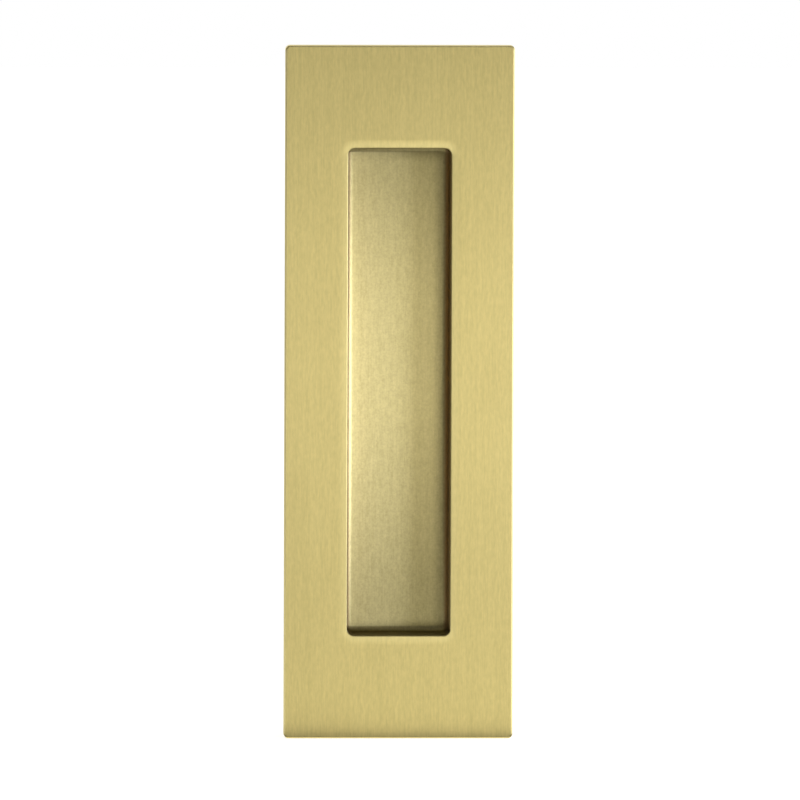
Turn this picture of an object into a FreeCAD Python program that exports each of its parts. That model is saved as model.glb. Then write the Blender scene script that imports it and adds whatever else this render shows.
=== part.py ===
import FreeCAD, Part
import math
import os

import Sketcher

# Flush pull for a pocket door, worked in one piece from solid brass: a rectangular face plate with a long
# opening, and behind the opening a closed finger cup that is let into the door.
#
# The back of the plate, which lies on the door, is the plane Y = 0, with the origin at its centre.
# The front looks towards -Y, Z runs up the length and X runs across the width.

NODE = "flush_pull"

# Driving dimensions in millimetres
SIZES = {
    "plate_length": 151.5,  # face plate, up the door
    "plate_width": 50.0,  # face plate, across the door
    "plate_thickness": 3.0,  # how far the plate stands proud of the door
    "plate_corner": 1.0,  # corner radius of the plate's outline
    "rim_round": 0.4,  # round on the plate's front edge
    "back_break": 0.3,  # sharp edge taken off round the plate's back
    "opening_length": 106.4,  # opening for the fingers, up the door
    "opening_width": 22.5,  # opening for the fingers, across the door
    "opening_corner": 1.5,  # corner radius of the opening
    "lip_width": 2.0,  # soft lip round the opening, from the wall to the flat of the plate
    "lip_ease": 20.0,  # large radius that eases the flat of the plate down towards the opening
    "lip_edge": 0.3,  # small radius that turns the lip into the opening's wall
    "recess_depth": 10.5,  # from the plate's front to the recess floor
    "floor_round": 1.4,  # hollow round between the recess walls and its floor
    "cup_wall": 2.0,  # side walls of the cup
    "cup_floor": 2.0,  # back wall of the cup
    "cup_round": 1.5,  # round on the cup's back edge, which enters the mortise first
}

# Levels are measured towards the front from the back of the plate
BACK = "0"
FRONT = "sizes.plate_thickness"
RECESS_FLOOR = "sizes.plate_thickness - sizes.recess_depth"
CUP_BACK = "sizes.plate_thickness - sizes.recess_depth - sizes.cup_floor"

# The cup follows the opening at the thickness of its walls
CUP_WIDTH = "sizes.opening_width + 2 * sizes.cup_wall"
CUP_LENGTH = "sizes.opening_length + 2 * sizes.cup_wall"
CUP_CORNER = "sizes.opening_corner + sizes.cup_wall"

# A round that turns a corner stays a little smaller than the corner's own radius
ROUND_SHARE = 0.95
LEVEL_TOLERANCE = 1e-4

# Numbers that a sketch gives to its points, its origin and its horizontal axis
START, END, CENTRE = 1, 2, 3
ORIGIN = (-1, 1)

# What each feature does to the metal of the one before it
ADDING = ("cup", "recess_edge")
CUTTING = ("rim", "back_edge", "cup_edge", "recess", "lip")


def fill_sheet(doc):
    """The sheet of driving dimensions, one named cell each."""
    sheet = doc.addObject("Spreadsheet::Sheet", "sizes")
    for row, (name, size) in enumerate(SIZES.items(), start=1):
        sheet.set(f"A{row}", name)
        sheet.set(f"B{row}", str(size))
        sheet.setAlias(f"B{row}", name)
    doc.recompute()


def number(body, expression):
    """What an expression on the sheet comes to, as a plain number."""
    value = body.evalExpression(expression)
    return float(getattr(value, "Value", value))


def new_sketch(body, name, role, offset):
    """An empty sketch on one of the body's origin planes, moved along that plane's normal."""
    sketch = body.newObject("Sketcher::SketchObject", name)
    plane = next(item for item in body.Origin.OriginFeatures if item.Role == role)
    sketch.AttachmentSupport = [(plane, "")]
    sketch.MapMode = "FlatFace"
    sketch.setExpression("AttachmentOffset.Base.z", offset)
    return sketch


def bind(sketch, name, expression, *constraint):
    """Adds a named dimension to a sketch and ties it to the sheet."""
    index = sketch.addConstraint(Sketcher.Constraint(*constraint))
    sketch.renameConstraint(index, name)
    sketch.setExpression(f"Constraints.{name}", expression)


def line(start, end):
    """A straight stretch of a sketch between two points."""
    return Part.LineSegment(FreeCAD.Vector(*start), FreeCAD.Vector(*end))


def arc(centre, radius, first_angle, last_angle):
    """A counter-clockwise arc of a sketch, with its angles in radians."""
    circle = Part.Circle(FreeCAD.Vector(*centre), FreeCAD.Vector(0, 0, 1), radius)
    return Part.ArcOfCircle(circle, first_angle, last_angle)


def rounded_rectangle(body, name, width, length, corner, level):
    """A sketched rectangle with rounded corners, parallel to the plate and centred on it.

    It runs counter-clockwise from the lower end of its right side.
    """
    sketch = new_sketch(body, name, "XZ_Plane", level)
    half_width = number(body, width) / 2
    half_length = number(body, length) / 2
    radius = number(body, corner)
    x = half_width - radius
    z = half_length - radius
    quarter = math.pi / 2
    outline = [
        line((half_width, -z), (half_width, z)),
        arc((x, z), radius, 0, quarter),
        line((x, half_length), (-x, half_length)),
        arc((-x, z), radius, quarter, 2 * quarter),
        line((-half_width, z), (-half_width, -z)),
        arc((-x, -z), radius, 2 * quarter, 3 * quarter),
        line((-x, -half_length), (x, -half_length)),
        arc((x, -z), radius, 3 * quarter, 4 * quarter),
    ]
    right, corner_1, top, corner_2, left, corner_3, bottom, corner_4 = sketch.addGeometry(outline, False)
    for piece in range(len(outline)):
        following = (piece + 1) % len(outline)
        sketch.addConstraint(Sketcher.Constraint("Tangent", piece, END, following, START))
    for upright in (right, left):
        sketch.addConstraint(Sketcher.Constraint("Vertical", upright))
    for level_line in (top, bottom):
        sketch.addConstraint(Sketcher.Constraint("Horizontal", level_line))
    for other in (corner_2, corner_3, corner_4):
        sketch.addConstraint(Sketcher.Constraint("Equal", corner_1, other))
    sketch.addConstraint(Sketcher.Constraint("Symmetric", corner_1, CENTRE, corner_3, CENTRE, *ORIGIN))
    bind(sketch, "width", width, "DistanceX", left, START, right, START, 2 * half_width)
    bind(sketch, "length", length, "DistanceY", bottom, START, top, START, 2 * half_length)
    bind(sketch, "corner", corner, "Radius", corner_1, radius)
    return sketch


def lip_section(body):
    """Section of the metal that the lip takes off, at the lower end of the opening's right side.

    A large arc leaves the flat of the plate, and a small one turns from it into the opening's wall.
    """
    lower_end = "sizes.opening_corner - sizes.opening_length / 2"
    sketch = new_sketch(body, "lip_section", "XY_Plane", lower_end)
    wall = number(body, "sizes.opening_width") / 2
    front = -number(body, FRONT)
    width = number(body, "sizes.lip_width")
    ease = number(body, "sizes.lip_ease")
    edge = number(body, "sizes.lip_edge")
    slope = math.asin((width - edge) / (ease - edge))
    depth = ease - (ease - edge) * math.cos(slope)
    facing_front = 3 * math.pi / 2
    facing_wall = math.pi
    outline = [
        line((wall, front), (wall + width, front)),
        arc((wall + width, front + ease), ease, facing_front - slope, facing_front),
        arc((wall + edge, front + depth), edge, facing_wall, facing_front - slope),
        line((wall, front + depth), (wall, front)),
    ]
    flat, ease_arc, edge_arc, upright = sketch.addGeometry(outline, False)
    sketch.addConstraint(Sketcher.Constraint("Coincident", upright, END, flat, START))
    sketch.addConstraint(Sketcher.Constraint("Tangent", flat, END, ease_arc, END))
    sketch.addConstraint(Sketcher.Constraint("Tangent", ease_arc, START, edge_arc, END))
    sketch.addConstraint(Sketcher.Constraint("Tangent", edge_arc, START, upright, START))
    sketch.addConstraint(Sketcher.Constraint("Horizontal", flat))
    sketch.addConstraint(Sketcher.Constraint("Vertical", upright))
    bind(sketch, "wall", "sizes.opening_width / 2", "DistanceX", *ORIGIN, flat, START, wall)
    bind(sketch, "front", FRONT, "DistanceY", flat, START, *ORIGIN, -front)
    bind(sketch, "width", "sizes.lip_width", "DistanceX", flat, START, flat, END, width)
    bind(sketch, "ease", "sizes.lip_ease", "Radius", ease_arc, ease)
    bind(sketch, "edge", "sizes.lip_edge", "Radius", edge_arc, edge)
    return sketch


def edges_at(feature, level):
    """Names of the feature's edges that lie whole in the plane at this level."""
    names = []
    for index, edge in enumerate(feature.Shape.Edges, start=1):
        box = edge.BoundBox
        if max(abs(-box.YMin - level), abs(-box.YMax - level)) < LEVEL_TOLERANCE:
            names.append(f"Edge{index}")
    return names


def dress_edges(body, kind, name, level, size_property, size):
    """Rounds or bevels the edges at one level of the body as it stands."""
    base = body.Tip
    edges = edges_at(base, number(body, level))
    feature = body.newObject(f"PartDesign::{kind}", name)
    feature.Base = (base, edges)
    feature.setExpression(size_property, size)
    body.Document.recompute()


def round_edges(body, name, level, radius, corner):
    """Rounds the edges at one level by a radius that the corners of their outline can take."""
    dress_edges(body, "Fillet", name, level, "Radius", f"min({radius}; {ROUND_SHARE} * ({corner}))")


def make_plate(body):
    """The face plate: a slab with a rounded front edge and the sharpness taken off its back edge."""
    outline = rounded_rectangle(
        body, "plate_outline", "sizes.plate_width", "sizes.plate_length", "sizes.plate_corner", BACK
    )
    plate = body.newObject("PartDesign::Pad", "plate")
    plate.Profile = outline
    plate.setExpression("Length", "sizes.plate_thickness")
    body.Document.recompute()
    round_edges(body, "rim", FRONT, "sizes.rim_round", "sizes.plate_corner")
    dress_edges(body, "Chamfer", "back_edge", BACK, "Size", "sizes.back_break")


def make_cup(body):
    """The block of the finger cup behind the plate, still solid, with its back edge rounded."""
    outline = rounded_rectangle(body, "cup_outline", CUP_WIDTH, CUP_LENGTH, CUP_CORNER, BACK)
    cup = body.newObject("PartDesign::Pad", "cup")
    cup.Profile = outline
    cup.Reversed = True
    cup.setExpression("Length", f"-({CUP_BACK})")
    body.Document.recompute()
    round_edges(body, "cup_edge", CUP_BACK, "sizes.cup_round", CUP_CORNER)


def make_recess(body):
    """The finger recess, with a hollow round from its walls into its floor. Gives the opening's outline."""
    opening = rounded_rectangle(
        body, "opening", "sizes.opening_width", "sizes.opening_length", "sizes.opening_corner", FRONT
    )
    recess = body.newObject("PartDesign::Pocket", "recess")
    recess.Profile = opening
    recess.setExpression("Length", "sizes.recess_depth")
    body.Document.recompute()
    round_edges(body, "recess_edge", RECESS_FLOOR, "sizes.floor_round", "sizes.opening_corner")
    return opening


def make_lip(body, opening):
    """The soft lip, its section swept once round the opening."""
    section = lip_section(body)
    lip = body.newObject("PartDesign::SubtractivePipe", "lip")
    lip.Profile = section
    lip.Spine = (opening, [f"Edge{index + 1}" for index in range(opening.GeometryCount)])
    body.Document.recompute()


def check(doc, body):
    """Stops the run if a feature failed, a feature moved metal the wrong way or the solid isn't whole."""
    for item in doc.Objects:
        if {"Invalid", "Error"} & set(item.State):
            raise RuntimeError(f"{item.Name} failed: {item.State}")
    for name in ADDING + CUTTING:
        feature = doc.getObject(name)
        added = feature.Shape.Volume - feature.BaseFeature.Shape.Volume
        if (added > 0) != (name in ADDING):
            raise RuntimeError(f"{name} changed the volume by {added:.3f} cubic millimetres")
    shape = body.Shape
    if shape.isNull() or not shape.isValid() or len(shape.Solids) != 1:
        raise RuntimeError(f"{body.Label} isn't one valid solid")


def main():
    doc = FreeCAD.newDocument("flush_pull")
    fill_sheet(doc)
    body = doc.addObject("PartDesign::Body", "pull")
    body.Label = NODE
    body.Placement = FreeCAD.Placement()
    make_plate(body)
    make_cup(body)
    opening = make_recess(body)
    make_lip(body, opening)
    check(doc, body)
    os.makedirs("parts", exist_ok=True)
    body.Shape.exportStep(f"parts/{body.Label}.step")
    print(f"{body.Label}: {body.Shape.Volume:.1f} cubic millimetres, {len(body.Shape.Faces)} faces")


main()
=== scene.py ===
import math

import bpy
from mathutils import Matrix, Vector


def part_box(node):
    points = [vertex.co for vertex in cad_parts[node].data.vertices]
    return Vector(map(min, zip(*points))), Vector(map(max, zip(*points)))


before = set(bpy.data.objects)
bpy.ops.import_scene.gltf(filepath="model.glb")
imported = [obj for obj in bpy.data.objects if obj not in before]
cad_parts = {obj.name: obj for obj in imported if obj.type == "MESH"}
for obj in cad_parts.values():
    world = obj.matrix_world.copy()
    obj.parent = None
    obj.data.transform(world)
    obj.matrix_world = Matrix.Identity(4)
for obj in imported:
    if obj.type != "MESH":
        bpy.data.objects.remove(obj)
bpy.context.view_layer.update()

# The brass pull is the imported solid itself. This script gives it its finish, the studio and the camera.
# Lengths are in metres: the front looks towards -Y, Z runs up the length and X across the width.

MM = 0.001
NODE = "flush_pull"
IMAGE_SIDE = 800
WHITE = (1.0, 1.0, 1.0)

# Sizes of the part that its finish follows
low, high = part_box(NODE)
PLATE_FRONT = low.y
PLATE_HALF_WIDTH = high.x
PLATE_HALF_LENGTH = high.z
OPENING_HALF_WIDTH = 11.25 * MM
OPENING_HALF_LENGTH = 53.2 * MM
OPENING_CORNER = 1.5 * MM
LIP_WIDTH = 2.0 * MM
RECESS_DEPTH = 10.5 * MM

# Zones of the finish: each pair says where the zone starts and where it is complete
RECESS_OUTSIDE = (0.30 * MM, 0.05 * MM)
RECESS_BACK = RECESS_DEPTH + 0.5 * MM
LIP_OUTSIDE = (LIP_WIDTH, 0.4 * MM)
LIP_DEPTH = (1.2 * MM, 0.4 * MM)
RIM_GAP = (0.5 * MM, 0.1 * MM)
WALL_GAP = (1.3 * MM, 0.4 * MM)
WALL_DEPTH = (0.35 * MM, 0.60 * MM)
FLOOR_ROUND_GAP = (1.5 * MM, 1.1 * MM)
RECESS_END = (OPENING_HALF_LENGTH - 4.0 * MM, OPENING_HALF_LENGTH)
HOLLOW_LEVEL = (RECESS_DEPTH - 5.0 * MM, RECESS_DEPTH - 1.5 * MM)

# Satin brass in linear colour: the low and the high lines of the brushing, and the paler brass of the rim
# that hands have polished and of the painted sheen on the lip
BRASS_LOW = (0.548, 0.453, 0.162)
BRASS_HIGH = (0.706, 0.579, 0.221)
BRASS_WORN_AND_SHEEN = (0.900, 0.780, 0.380)
SHADE_RANGE = (0.25, 0.75)

# What the colour is multiplied by: painted shade and a whiter painted sheen in the recess, darker painted
# shade on its long walls, and the dull specks of its floor
RECESS_SHADE_TINT = (0.84, 0.88, 1.07)
WALL_SHADE_TINT = (0.58, 0.47, 0.48)
SPECK_TINT = (0.6, 0.6, 0.6)
SPECK_SHARE = 0.90

# How far the lip is painted paler as a painted sheen, and how far hands have polished the rim
LIP_SHEEN = 0.10
RIM_POLISH = 0.75

# Roughness of the finish, and how far it changes from line to line and from stain to stain
PLATE_ROUGHNESS = 0.53
RECESS_ROUGHNESS = 0.34
RECESS_END_ROUGHNESS = 0.52
FLOOR_ROUND_ROUGHNESS = 0.32
POLISHED_ROUGHNESS = 0.45
ROUGHNESS_SPREAD = 0.10
LINE_SHARE = 0.7
STAIN_SHARE = 0.3
NOISE_MIDDLE = 0.5

# Brush lines from fine scratches to long faint bands: width, length, detail and share
BRUSH_LINES = (
    (0.28 * MM, 3.5 * MM, 3.0, 0.4),
    (0.60 * MM, 1.6 * MM, 2.0, 0.4),
    (1.10 * MM, 70.0 * MM, 2.0, 0.2),
)
SPECK_SIZE = 0.45 * MM
SPECK_DETAIL = 2.0
STAIN_SIZE = 14.0 * MM
STAIN_DETAIL = 3.0
NOISE_ROUGHNESS = 0.6

# Relief of the brushing, and the shallow hollow along the long sides of the recess floor
BRUSH_DEPTH = 0.004 * MM
SPECK_RELIEF = 0.3
HOLLOW_REACH = 3.4 * MM
HOLLOW_DEPTH = 0.16 * MM

# The brushing spreads reflections in this direction, which also crosses the sides of the plate
BRUSH_ANISOTROPY = 0.95
ACROSS_BRUSH = {"X": 1.0, "Y": 0.2}

# Studio
WORLD_LIGHT = 0.6
FLOOR_GREY = 0.8
FLOOR_GLOW = 0.6
FLOOR_SIDE = 6.0
DARK_CLOTH = 0.16
GREY_CLOTH = 0.40
PALE_CLOTH = 0.80
WARM_LIGHT = (1.0, 0.96, 0.88)
COOL_LIGHT = (0.95, 1.0, 1.25)
DAY_LIGHT = (0.95, 1.0, 1.18)

# Camera: at the front, a little to the left of the middle and a little above it
CAMERA_DISTANCE = 4.0
CAMERA_RIGHT_DEG = -2.5
CAMERA_UP_DEG = 3.8
CAMERA_ROLL_DEG = 0.195
CAMERA_AIM = Vector((0.30, 0.0, -1.88)) * MM
PIXELS_PER_METRE = 4581.5
SENSOR_MM = 36.0
CLIP_START = 10 * MM
CLIP_END = 20.0


def new_material(name):
    """An empty node material, with its tree."""
    material = bpy.data.materials.new(name)
    material.use_nodes = True
    material.node_tree.nodes.clear()
    return material, material.node_tree


def fill(tree, node, values):
    """Sets a node's inputs by name or number: a socket is linked, anything else is a plain value."""
    for key, value in values.items():
        if isinstance(value, bpy.types.NodeSocket):
            tree.links.new(value, node.inputs[key])
        else:
            node.inputs[key].default_value = value


def set_surface(tree, shader):
    """Makes a shader the one that the material shows."""
    out = tree.nodes.new("ShaderNodeOutputMaterial")
    fill(tree, out, {"Surface": shader.outputs[0]})


def rgba(colour):
    """A colour as a node takes it."""
    return (*colour, 1.0)


def math_node(tree, operation, *values, clamp=False):
    """The result of one step of arithmetic."""
    node = tree.nodes.new("ShaderNodeMath")
    node.operation = operation
    node.use_clamp = clamp
    fill(tree, node, dict(enumerate(values)))
    return node.outputs[0]


def plus(tree, first, second, clamp=False):
    """The sum of two numbers."""
    return math_node(tree, "ADD", first, second, clamp=clamp)


def minus(tree, first, second, clamp=False):
    """The first number less the second."""
    return math_node(tree, "SUBTRACT", first, second, clamp=clamp)


def times(tree, first, second):
    """The product of two numbers."""
    return math_node(tree, "MULTIPLY", first, second)


def between(tree, share, first, second):
    """A number that is the first at a share of 0 and the second at a share of 1."""
    return math_node(tree, "MULTIPLY_ADD", share, minus(tree, second, first), first)


def vector_node(tree, operation, *values, output="Vector"):
    """The result of one step of arithmetic on vectors."""
    node = tree.nodes.new("ShaderNodeVectorMath")
    node.operation = operation
    fill(tree, node, dict(enumerate(values)))
    return node.outputs[output]


def noise(tree, place, width, length, detail):
    """Noise stretched along Z, from 0 to 1, with features of this width and length."""
    stretch = tree.nodes.new("ShaderNodeMapping")
    fill(tree, stretch, {"Vector": place, "Scale": (1 / width, 1 / width, 1 / length)})
    texture = tree.nodes.new("ShaderNodeTexNoise")
    fill(tree, texture, {
        "Vector": stretch.outputs[0],
        "Scale": 1.0,
        "Detail": detail,
        "Roughness": NOISE_ROUGHNESS,
    })
    return texture.outputs["Fac"]


def ramp(tree, value, start, end):
    """A smooth step that is 0 at start and 1 at end."""
    node = tree.nodes.new("ShaderNodeMapRange")
    node.interpolation_type = "SMOOTHSTEP"
    fill(tree, node, {"Value": value, "From Min": start, "From Max": end})
    return node.outputs["Result"]


def mix_colour(tree, blend, share, first, second):
    """Two colours mixed by a share."""
    node = tree.nodes.new("ShaderNodeMix")
    node.data_type = "RGBA"
    node.blend_type = blend
    fill(tree, node, {"Factor": share, "A": first, "B": second})
    return next(socket for socket in node.outputs if socket.type == "RGBA")


def outside_opening(tree, folded):
    """Distance across the front from the rounded outline of the opening, 0 on its wall."""
    straight = (OPENING_HALF_WIDTH - OPENING_CORNER, 0.0, OPENING_HALF_LENGTH - OPENING_CORNER)
    past_straight = vector_node(tree, "SUBTRACT", folded, straight)
    beyond = vector_node(tree, "MAXIMUM", past_straight, (0.0, 0.0, 0.0))
    level = vector_node(tree, "MULTIPLY", beyond, (1.0, 0.0, 1.0))
    return minus(tree, vector_node(tree, "LENGTH", level, output="Value"), OPENING_CORNER)


def brass_zones(tree, place):
    """Where the recess, its walls, its ends and its hollow are, where the lip gets a painted sheen and where
    hands have worn the rim.
    """
    depth_split = tree.nodes.new("ShaderNodeSeparateXYZ")
    fill(tree, depth_split, {0: place})
    depth = minus(tree, depth_split.outputs["Y"], PLATE_FRONT)
    folded = vector_node(tree, "ABSOLUTE", place)
    folded_split = tree.nodes.new("ShaderNodeSeparateXYZ")
    fill(tree, folded_split, {0: folded})
    across = folded_split.outputs["X"]
    along = folded_split.outputs["Z"]
    outside = outside_opening(tree, folded)

    # The recess, in front of the back of the cup
    in_front = math_node(tree, "LESS_THAN", depth, RECESS_BACK)
    recess = times(tree, ramp(tree, outside, *RECESS_OUTSIDE), in_front)

    # Painted sheen at the lip, and wear at the rim
    lip = times(tree, ramp(tree, outside, *LIP_OUTSIDE), ramp(tree, depth, *LIP_DEPTH))
    side_gap = minus(tree, PLATE_HALF_WIDTH, across)
    end_gap = minus(tree, PLATE_HALF_LENGTH, along)
    rim = ramp(tree, math_node(tree, "MINIMUM", side_gap, end_gap), *RIM_GAP)
    wear_and_sheen = math_node(tree, "MAXIMUM", times(tree, lip, LIP_SHEEN), times(tree, rim, RIM_POLISH))

    # The long walls, which get painted shade in the colour, and the hollow beside them
    from_wall = minus(tree, OPENING_HALF_WIDTH, across)
    wall = times(tree, ramp(tree, from_wall, *WALL_GAP), ramp(tree, depth, *WALL_DEPTH))
    near_wall = minus(tree, 1.0, math_node(tree, "DIVIDE", from_wall, HOLLOW_REACH), clamp=True)
    deep = times(tree, recess, ramp(tree, depth, *HOLLOW_LEVEL))

    return {
        "recess": recess,
        "wear_and_sheen": wear_and_sheen,
        "wall": times(tree, wall, recess),
        "floor_round": ramp(tree, from_wall, *FLOOR_ROUND_GAP),
        "end": ramp(tree, along, *RECESS_END),
        "hollow": times(tree, times(tree, near_wall, near_wall), deep),
    }


def brush_lines(tree, place):
    """The brushing along the length, from 0 to 1."""
    lines = 0.0
    for width, length, detail, share in BRUSH_LINES:
        lines = math_node(tree, "MULTIPLY_ADD", noise(tree, place, width, length, detail), share, lines)
    return lines


def brass_colour(tree, zones, lines, specks):
    """Brass that follows the brushing, with painted shade and a whiter painted sheen in the recess, darker
    painted shade on its long walls, a painted sheen on the lip and pale where the rim is worn.
    """
    shade = ramp(tree, lines, *SHADE_RANGE)
    brushed = mix_colour(tree, "MIX", shade, rgba(BRASS_LOW), rgba(BRASS_HIGH))
    # Painted shade and a whiter painted sheen: the whole recess is multiplied darker and less yellow
    recess_shaded = mix_colour(tree, "MULTIPLY", zones["recess"], brushed, rgba(RECESS_SHADE_TINT))
    # Painted shade: the long walls of the recess and the steep part of their floor round are multiplied
    # darker and browner
    wall_shaded = mix_colour(tree, "MULTIPLY", zones["wall"], recess_shaded, rgba(WALL_SHADE_TINT))
    specked = mix_colour(tree, "MULTIPLY", times(tree, specks, SPECK_SHARE), wall_shaded, rgba(SPECK_TINT))
    # The lip is painted paler as a painted sheen; the rim is paler where hands have worn it
    return mix_colour(tree, "MIX", zones["wear_and_sheen"], specked, rgba(BRASS_WORN_AND_SHEEN))


def brass_roughness(tree, zones, lines, stain):
    """Satin on the plate, smoother in the middle of the recess, and uneven all over."""
    floor = between(tree, zones["floor_round"], RECESS_ROUGHNESS, FLOOR_ROUND_ROUGHNESS)
    inner = between(tree, zones["end"], floor, RECESS_END_ROUGHNESS)
    satin = between(tree, zones["recess"], PLATE_ROUGHNESS, inner)
    uneven = plus(tree, times(tree, lines, LINE_SHARE), times(tree, stain, STAIN_SHARE))
    spread = times(tree, minus(tree, uneven, NOISE_MIDDLE), ROUGHNESS_SPREAD)
    return between(tree, zones["wear_and_sheen"], plus(tree, satin, spread), POLISHED_ROUGHNESS)


def brass_relief(tree, zones, lines, specks):
    """The normal with the brush lines, the specks and the hollow beside the long walls."""
    relief = math_node(tree, "MULTIPLY_ADD", specks, SPECK_RELIEF, lines)
    height = math_node(tree, "MULTIPLY_ADD", zones["hollow"], HOLLOW_DEPTH / BRUSH_DEPTH, relief)
    bump = tree.nodes.new("ShaderNodeBump")
    fill(tree, bump, {"Strength": 1.0, "Distance": BRUSH_DEPTH, "Height": height})
    return bump.outputs["Normal"]


def make_brass():
    """Satin brass, brushed along the length, with the finish of each zone of the part, and painted shade and
    painted sheen in some of them.
    """
    material, tree = new_material("satin_brass")
    place = tree.nodes.new("ShaderNodeTexCoord").outputs["Object"]
    zones = brass_zones(tree, place)
    lines = brush_lines(tree, place)
    specks = times(tree, noise(tree, place, SPECK_SIZE, SPECK_SIZE, SPECK_DETAIL), zones["recess"])
    stain = noise(tree, place, STAIN_SIZE, STAIN_SIZE, STAIN_DETAIL)
    tangent = tree.nodes.new("ShaderNodeCombineXYZ")
    fill(tree, tangent, ACROSS_BRUSH)
    shader = tree.nodes.new("ShaderNodeBsdfPrincipled")
    fill(tree, shader, {
        "Base Color": brass_colour(tree, zones, lines, specks),
        "Metallic": 1.0,
        "Roughness": brass_roughness(tree, zones, lines, stain),
        "Anisotropic": BRUSH_ANISOTROPY,
        "Tangent": tangent.outputs["Vector"],
        "Normal": brass_relief(tree, zones, lines, specks),
    })
    set_surface(tree, shader)
    return material


def background_rays(tree):
    """1 for rays that look straight at the background, also by way of a reflection or through glass."""
    path = tree.nodes.new("ShaderNodeLightPath")
    direct = plus(tree, path.outputs["Is Camera Ray"], path.outputs["Is Glossy Ray"], clamp=True)
    return plus(tree, direct, path.outputs["Is Transmission Ray"], clamp=True)


def make_world():
    """White all round where it is seen, and a softer light on what it falls on."""
    world = bpy.data.worlds.new("studio")
    bpy.context.scene.world = world
    world.use_nodes = True
    tree = world.node_tree
    tree.nodes.clear()
    background = tree.nodes.new("ShaderNodeBackground")
    strength = between(tree, background_rays(tree), WORLD_LIGHT, 1.0)
    fill(tree, background, {"Color": rgba(WHITE), "Strength": strength})
    out = tree.nodes.new("ShaderNodeOutputWorld")
    fill(tree, out, {"Surface": background.outputs[0]})


def around(right_deg, up_deg, distance):
    """A place in front of the part, by its angles from the line that runs straight out of the front."""
    right = math.radians(right_deg)
    up = math.radians(up_deg)
    direction = Vector((math.sin(right) * math.cos(up), -math.cos(right) * math.cos(up), math.sin(up)))
    return distance * direction


def add_object(name, data, place):
    """Puts an object in the scene, not turned."""
    thing = bpy.data.objects.new(name, data)
    bpy.context.scene.collection.objects.link(thing)
    thing.location = place
    return thing


def face_part(thing):
    """Turns an object so that its -Z axis points at the part."""
    thing.rotation_mode = "QUATERNION"
    thing.rotation_quaternion = thing.location.to_track_quat("Z", "Y")


def flat_mesh(name, width, height, material):
    """A level rectangle round its own origin."""
    x = width / 2
    y = height / 2
    mesh = bpy.data.meshes.new(name)
    mesh.from_pydata([(-x, -y, 0), (x, -y, 0), (x, y, 0), (-x, y, 0)], [], [(0, 1, 2, 3)])
    mesh.materials.append(material)
    return mesh


def matt_grey(tree, grey):
    """A matt shader of one grey."""
    diffuse = tree.nodes.new("ShaderNodeBsdfDiffuse")
    fill(tree, diffuse, {"Color": rgba((grey, grey, grey))})
    return diffuse


def make_floor():
    """The pale floor under the part, which looks white and keeps a faint shadow."""
    material, tree = new_material("pale_floor")
    glow = tree.nodes.new("ShaderNodeEmission")
    fill(tree, glow, {"Strength": times(tree, background_rays(tree), FLOOR_GLOW)})
    both = tree.nodes.new("ShaderNodeAddShader")
    fill(tree, both, {0: matt_grey(tree, FLOOR_GREY).outputs[0], 1: glow.outputs[0]})
    set_surface(tree, both)
    mesh = flat_mesh("floor", FLOOR_SIDE, FLOOR_SIDE, material)
    add_object("floor", mesh, Vector((0.0, 0.0, low.z)))


def make_cloth(name, grey):
    """Matt cloth for the flags."""
    material, tree = new_material(name)
    set_surface(tree, matt_grey(tree, grey))
    return material


def make_flag(name, cloth, place, width, height, lies_flat=False):
    """A card that is seen only in the metal, where it keeps the white surroundings out of the reflections."""
    flag = add_object(name, flat_mesh(name, width, height, cloth), place)
    if not lies_flat:
        face_part(flag)
    flag.visible_camera = False
    flag.visible_diffuse = False
    flag.visible_shadow = False


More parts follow.
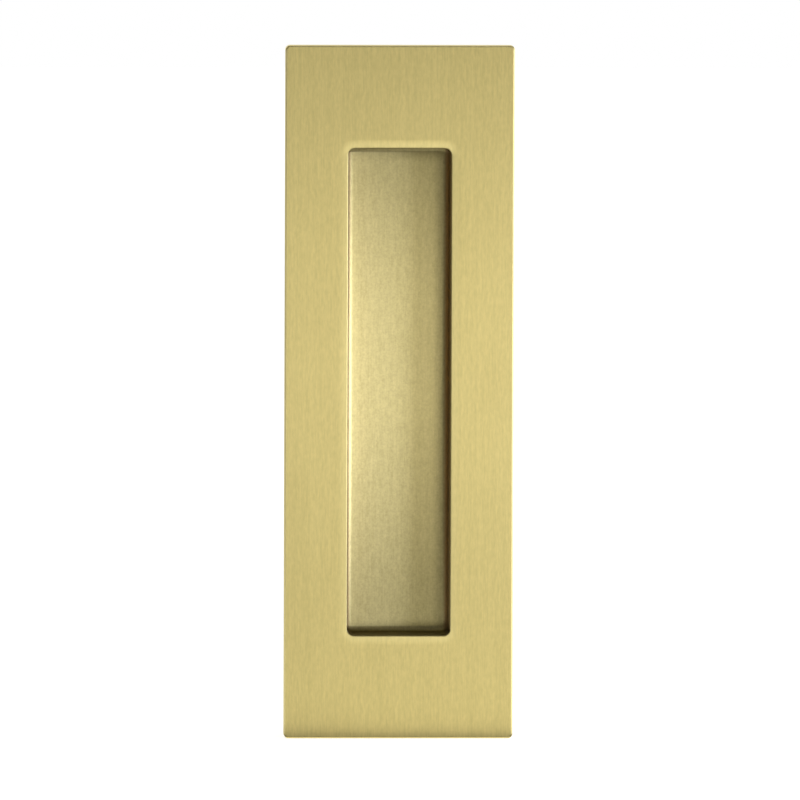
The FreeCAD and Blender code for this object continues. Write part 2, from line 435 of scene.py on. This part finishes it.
def make_flags():
    """The cards round the part, and the two that lie on the floor in front of it."""
    dark = make_cloth("dark_cloth", DARK_CLOTH)
    grey = make_cloth("grey_cloth", GREY_CLOTH)
    pale = make_cloth("pale_cloth", PALE_CLOTH)
    make_flag("left_flag", dark, Vector((-0.95, -0.80, 0.4)), width=1.9, height=1.2)
    make_flag("front_flag", grey, Vector((0.1, -2.3, 0.2)), width=3.4, height=1.6)
    make_flag("top_flag", pale, Vector((0.2, -0.6, 0.95)), width=3.0, height=1.8)
    floor_place = Vector((-0.55, -0.91, low.z + 1 * MM))
    make_flag("low_flag", grey, floor_place, width=1.75, height=1.48, lies_flat=True)
    foot_place = Vector((0.0, -0.007, low.z + 0.3 * MM))
    make_flag("foot_flag", grey, foot_place, width=0.08, height=0.008, lies_flat=True)


def make_softbox(name, place, width, height, radiance, colour):
    """A soft lamp that shines on the part."""
    lamp = bpy.data.lights.new(name, "AREA")
    lamp.shape = "RECTANGLE"
    lamp.size = width
    lamp.size_y = height
    lamp.color = colour
    lamp.energy = radiance * math.pi * width * height
    box = add_object(name, lamp, place)
    face_part(box)
    box.visible_camera = False


def make_lamps():
    """A strip in front for the whole part, one at the right for the left of the recess, and a softbox."""
    make_softbox(
        "front_strip", around(11.0, -3.7, 0.62), width=0.21, height=0.085, radiance=5.2, colour=WARM_LIGHT)
    make_softbox(
        "middle_strip", around(50.0, -4.1, 0.62), width=0.31, height=0.062, radiance=13.6, colour=COOL_LIGHT)
    make_softbox(
        "right_softbox", around(74.0, 15.8, 0.53), width=0.28, height=0.37, radiance=3.4, colour=DAY_LIGHT)


def make_camera():
    """The camera at the photograph's viewing angle, with a lens that gives the part its size in the image."""
    data = bpy.data.cameras.new("camera")
    data.sensor_width = SENSOR_MM
    data.lens = SENSOR_MM * CAMERA_DISTANCE * PIXELS_PER_METRE / IMAGE_SIDE
    data.clip_start = CLIP_START
    data.clip_end = CLIP_END
    eye = around(CAMERA_RIGHT_DEG, CAMERA_UP_DEG, CAMERA_DISTANCE)
    camera = add_object("camera", data, eye)
    turn = (CAMERA_AIM - eye).to_track_quat("-Z", "Y").to_matrix().to_4x4()
    roll = Matrix.Rotation(math.radians(CAMERA_ROLL_DEG), 4, "Z")
    camera.matrix_world = Matrix.Translation(eye) @ turn @ roll
    bpy.context.scene.camera = camera


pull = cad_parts[NODE]
pull.data.materials.clear()
pull.data.materials.append(make_brass())
make_world()
make_floor()
make_flags()
make_lamps()
make_camera()
bpy.context.scene.view_settings.view_transform = "Standard"
